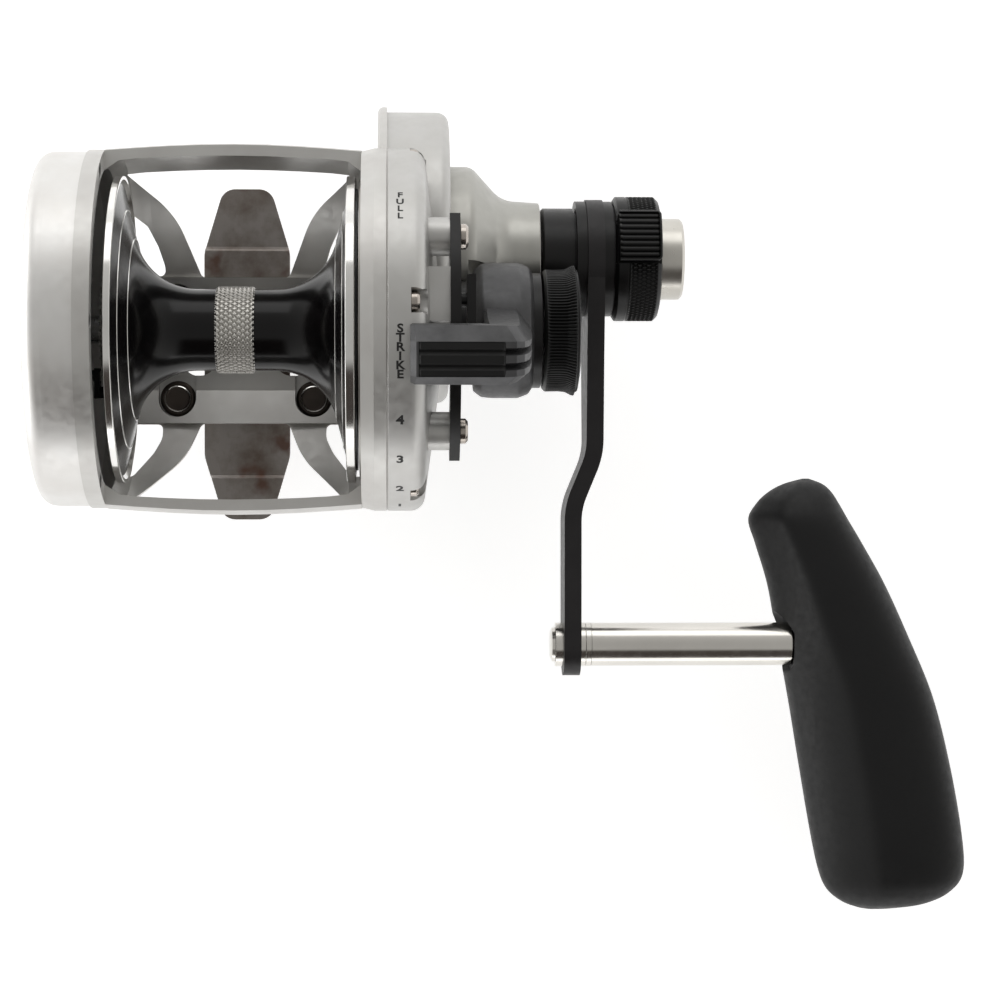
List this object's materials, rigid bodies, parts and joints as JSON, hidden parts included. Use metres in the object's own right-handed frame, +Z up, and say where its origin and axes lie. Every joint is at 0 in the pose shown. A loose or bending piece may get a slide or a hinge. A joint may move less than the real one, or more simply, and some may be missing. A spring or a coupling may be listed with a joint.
{
  "type": "trolling reel",
  "caption": "Two-speed lever-drag trolling reel: spool in a skeleton frame, offset gear case, drag lever, preset knob and crank with a long hand grip.",
  "frame": {"origin": "middle of the foot's underside, where the reel sits on the rod", "axes": "+X to the handle side along the spool's axis, +Y towards the rod's tip, +Z up from the rod"},
  "size_m": [0.274, 0.2383, 0.1365],
  "materials": {
    "frame_metal": "satin machined",
    "plate_metal": "fine satin",
    "case_metal": "fine satin",
    "boss_metal": "satin",
    "foot_steel": "worn brushed",
    "stud_steel": "dark oiled",
    "screw_steel": "polished",
    "spool_black": "gloss anodised",
    "band_metal": "knurled",
    "shaft_steel": "ground",
    "bearing_steel": "ground",
    "gear_steel": "machined",
    "pinion_brass": "machined",
    "carbon": "woven carbon",
    "black_anodised": "satin anodised",
    "lever_grey": "blasted anodised",
    "insert_rubber": "ribbed",
    "knob_black": "satin anodised",
    "arm_black": "satin anodised",
    "button_metal": "turned",
    "tab_black": "satin",
    "spindle_chrome": "polished",
    "grip_rubber": "satin",
    "clicker_metal": "satin"
  },
  "bodies": {
    "reel_frame": {"frame": "frame_metal", "foot": "foot_steel", "foot_screws": "screw_steel", "clamp_studs": "stud_steel", "left_side_plate": "plate_metal", "left_plate_screws": "screw_steel", "gear_plate": "gear_steel", "gear_plate_screws": "screw_steel", "gear_side_cover": "case_metal", "cover_screws": "screw_steel", "drive_boss": "boss_metal", "inner_pinion_bearing": "bearing_steel", "outer_pinion_bearing": "bearing_steel", "inner_drive_bearing": "bearing_steel", "middle_drive_bearing": "bearing_steel", "outer_drive_bearing": "bearing_steel", "dog_pins": "shaft_steel", "drag_quadrant": "black_anodised", "quadrant_screws": "screw_steel", "drag_cam": "shaft_steel"},
    "drag_shaft": {"spool_shaft": "shaft_steel", "spring_washers": "shaft_steel", "preset_nut": "shaft_steel"},
    "spool": {"spool": "spool_black", "arbor_band": "band_metal", "left_spool_bearing": "bearing_steel", "right_spool_bearing": "bearing_steel", "click_wheel": "pinion_brass", "drag_washer": "carbon"},
    "drive_plate": {"drive_plate": "shaft_steel", "low_pinion": "gear_steel", "high_pinion": "gear_steel"},
    "low_gear": {"low_gear": "pinion_brass"},
    "crank": {"drive_shaft": "shaft_steel", "high_gear": "pinion_brass", "ratchet_wheel": "gear_steel", "gear_spacer": "shaft_steel", "crank_collar": "black_anodised", "lock_ring": "black_anodised", "crank_arm": "arm_black", "crank_drum": "knob_black", "grip_spindle": "spindle_chrome", "grip_rivet": "screw_steel", "grip_washers": "screw_steel"},
    "shift_button": {"shift_button": "button_metal", "shift_rod": "shaft_steel"},
    "shift_tab": {"shift_tab": "tab_black"},
    "grip": {"grip": "grip_rubber", "grip_bearings": "bearing_steel"},
    "drag_lever": {"drag_lever": "lever_grey", "lever_grip_insert": "insert_rubber", "lever_hub_ring": "black_anodised", "thrust_bearing": "bearing_steel"},
    "preset_knob": {"preset_knob": "knob_black"},
    "strike_button": {"strike_button": "black_anodised"},
    "clicker": {"clicker_button": "clicker_metal", "click_tongue": "shaft_steel"},
    "front_dog": {"front_dog": "gear_steel"},
    "lower_dog": {"lower_dog": "gear_steel"}
  },
  "joints": [
    {"name": "crank_spin", "type": "hinge", "parent": "reel_frame", "child": "crank", "pos_m": [0.08, 0.0273, 0.02895], "axis": [1, 0, 0], "continuous": true},
    {"name": "drag_shaft_slide", "type": "slide", "parent": "reel_frame", "child": "drag_shaft", "axis": [1, 0, 0], "range_m": [-0.00052, 0.00031]},
    {"name": "spool_spin", "type": "hinge", "parent": "drag_shaft", "child": "spool", "pos_m": [0, 0.0045, 0.057], "axis": [1, 0, 0], "continuous": true},
    {"name": "drive_plate_spin", "type": "hinge", "parent": "reel_frame", "child": "drive_plate", "pos_m": [0.04, 0.0045, 0.057], "axis": [1, 0, 0], "continuous": true},
    {"name": "low_gear_spin", "type": "hinge", "parent": "reel_frame", "child": "low_gear", "pos_m": [0.047, 0.0273, 0.02895], "axis": [1, 0, 0], "continuous": true},
    {"name": "grip_spin", "type": "hinge", "parent": "crank", "child": "grip", "pos_m": [0.17, -0.0872, 0.02895], "axis": [1, 0, 0], "continuous": true},
    {"name": "shift_button_press", "type": "slide", "parent": "crank", "child": "shift_button", "axis": [-1, 0, 0], "range_m": [0, 0.005], "stiffness_N_per_m": 600},
    {"name": "shift_tab_press", "type": "slide", "parent": "crank", "child": "shift_tab", "axis": [0, 0, -1], "range_m": [0, 0.0014], "stiffness_N_per_m": 800},
    {"name": "drag_lever_swing", "type": "hinge", "parent": "reel_frame", "child": "drag_lever", "pos_m": [0.075, 0.0045, 0.057], "axis": [1, 0, 0], "range_deg": [-45, 76]},
    {"name": "preset_knob_turn", "type": "hinge", "parent": "drag_shaft", "child": "preset_knob", "pos_m": [0.09, 0.0045, 0.057], "axis": [1, 0, 0], "range_deg": [-270, 270]},
    {"name": "strike_button_press", "type": "slide", "parent": "reel_frame", "child": "strike_button", "axis": [-1, 0, 0], "range_m": [0, 0.0014], "stiffness_N_per_m": 800},
    {"name": "clicker_slide", "type": "slide", "parent": "reel_frame", "child": "clicker", "axis": [0, 1, 0], "range_m": [0, 0.0038]},
    {"name": "front_dog_swing", "type": "hinge", "parent": "reel_frame", "child": "front_dog", "pos_m": [0.0569, 0.0488, 0.02895], "axis": [1, 0, 0], "range_deg": [0, 16]},
    {"name": "lower_dog_swing", "type": "hinge", "parent": "reel_frame", "child": "lower_dog", "pos_m": [0.0569, 0.0273, 0.00745], "axis": [1, 0, 0], "range_deg": [0, 16]}
  ],
  "couplings": [
    {"joint": "spool_spin", "follows": "crank_spin", "ratio": -3},
    {"joint": "drive_plate_spin", "follows": "crank_spin", "ratio": -3},
    {"joint": "low_gear_spin", "follows": "crank_spin", "ratio": 1.9091},
    {"joint": "drag_shaft_slide", "follows": "drag_lever_swing", "m_per_rad": -0.00038}
  ]
}
